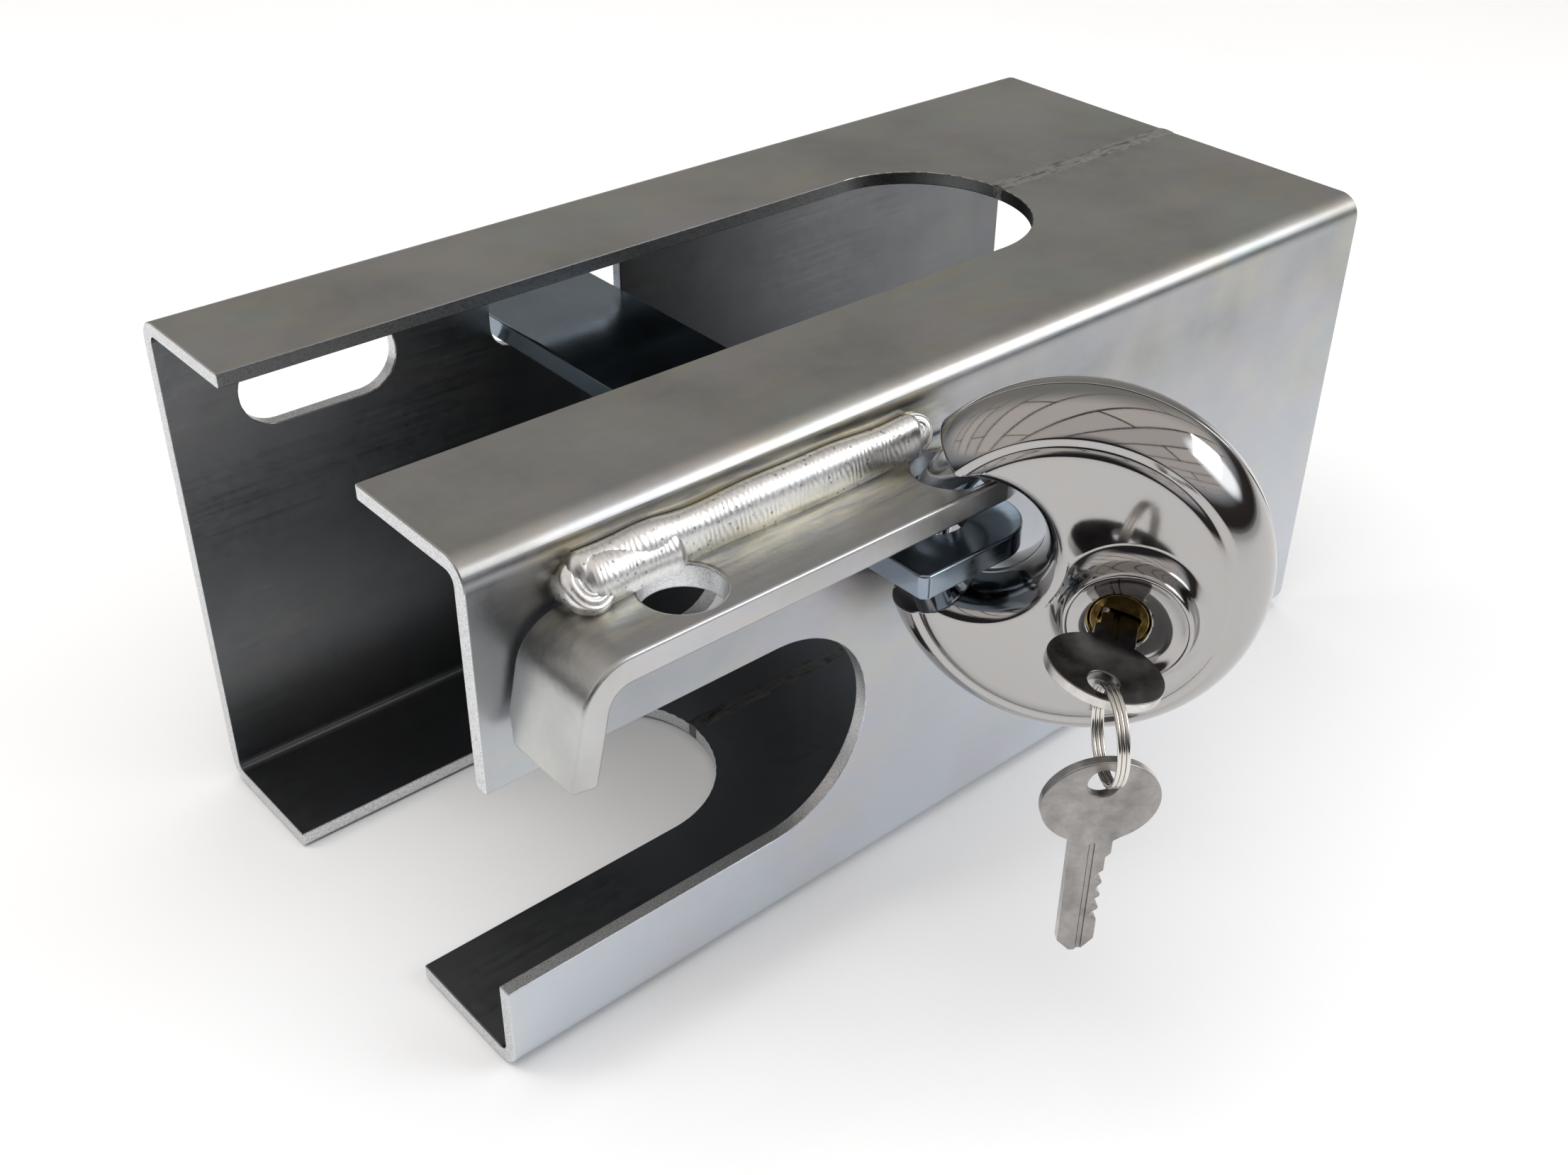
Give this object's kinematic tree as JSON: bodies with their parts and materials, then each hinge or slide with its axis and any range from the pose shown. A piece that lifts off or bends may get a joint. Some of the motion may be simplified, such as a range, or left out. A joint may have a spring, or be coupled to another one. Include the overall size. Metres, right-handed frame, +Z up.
{
  "type": "trailer coupler lock",
  "caption": "Folded steel box that closes over a trailer coupling, held by a flat locking bar and a disc padlock with its key in.",
  "frame": {"origin": "on the underside, on the centreline of the box at the middle of its length", "axes": "+X from the open front end towards the rear, +Y to the left wall, away from the padlock, +Z up"},
  "size_m": [0.232, 0.1903, 0.117],
  "materials": {
    "galvanised_sheet": "zinc-plated mild steel sheet, satin, faint passivation tints",
    "galvanised_bar": "zinc-plated flat bar, satin",
    "weld_metal": "bright rippled weld bead under zinc",
    "blue_zinc_bar": "blue-bright zinc, smooth",
    "polished_stainless": "mirror-polished stainless steel",
    "hardened_chrome": "bright chromed hardened steel",
    "hardened_steel": "hardened steel",
    "spring_steel": "bright spring wire",
    "zinc_casting": "die-cast zinc",
    "lock_brass": "machined brass",
    "nickel_key": "nickel-plated brass, satin",
    "bright_nickel": "bright nickel-plated spring wire"
  },
  "bodies": {
    "box": {"left_half_shell": "galvanised_sheet", "right_half_shell": "galvanised_sheet", "top_seam_weld": "weld_metal", "bottom_seam_weld": "weld_metal", "guard_bar": "galvanised_bar", "guard_bar_weld_upper": "weld_metal", "guard_bar_weld_lower": "weld_metal"},
    "locking_bar": {"locking_bar": "blue_zinc_bar"},
    "padlock": {"padlock_front_shell": "polished_stainless", "padlock_back_shell": "polished_stainless", "core_carrier": "zinc_casting", "anti_drill_ring": "hardened_steel", "detent_ball": "hardened_steel", "detent_spring": "spring_steel", "cylinder_barrel": "lock_brass", "driver_pin_1": "lock_brass", "pin_spring_1": "spring_steel", "driver_pin_2": "lock_brass", "pin_spring_2": "spring_steel", "driver_pin_3": "lock_brass", "pin_spring_3": "spring_steel", "driver_pin_4": "lock_brass", "pin_spring_4": "spring_steel"},
    "shackle": {"shackle": "hardened_chrome"},
    "plug": {"cylinder_plug": "lock_brass", "plug_clip": "spring_steel", "drive_crank": "hardened_steel", "crank_screw": "spring_steel", "key_pin_1": "lock_brass", "key_pin_2": "lock_brass", "key_pin_3": "lock_brass", "key_pin_4": "lock_brass"},
    "key": {"key_1": "nickel_key"},
    "ring": {"split_ring": "bright_nickel"},
    "spare_key": {"key_2": "nickel_key"}
  },
  "joints": [
    {"name": "locking_bar_slide", "type": "slide", "parent": "box", "child": "locking_bar", "axis": [0, -1, 0], "range_m": [-0.0016, 0.0016]},
    {"name": "padlock_swivel", "type": "hinge", "parent": "box", "child": "padlock", "pos_m": [-0.0235, -0.0655, 0.082], "axis": [0, 0, 1], "range_deg": [-30, 8]},
    {"name": "plug_turn", "type": "hinge", "parent": "padlock", "child": "plug", "pos_m": [-0.0045, -0.09242, 0.0794], "axis": [-0.8171, -0.5764, 0], "range_deg": [0, 154]},
    {"name": "shackle_turn", "type": "hinge", "parent": "padlock", "child": "shackle", "pos_m": [-0.0098, -0.0849, 0.082], "axis": [-0.8171, -0.5764, 0], "range_deg": [0, 77]},
    {"name": "key_pull", "type": "slide", "parent": "plug", "child": "key", "axis": [-0.8171, -0.5764, 0], "range_m": [0, 0.03]},
    {"name": "ring_swing", "type": "hinge", "parent": "key", "child": "ring", "pos_m": [-0.03681, -0.11667, 0.07967], "axis": [0.8211, -0.5707, 0], "range_deg": [-12, 12]},
    {"name": "spare_key_swing", "type": "hinge", "parent": "ring", "child": "spare_key", "pos_m": [-0.03681, -0.11667, 0.06676], "axis": [-0.5707, -0.8211, 0], "range_deg": [-55, 55]}
  ],
  "couplings": [
    {"joint": "shackle_turn", "follows": "plug_turn", "ratio": 0.5}
  ]
}
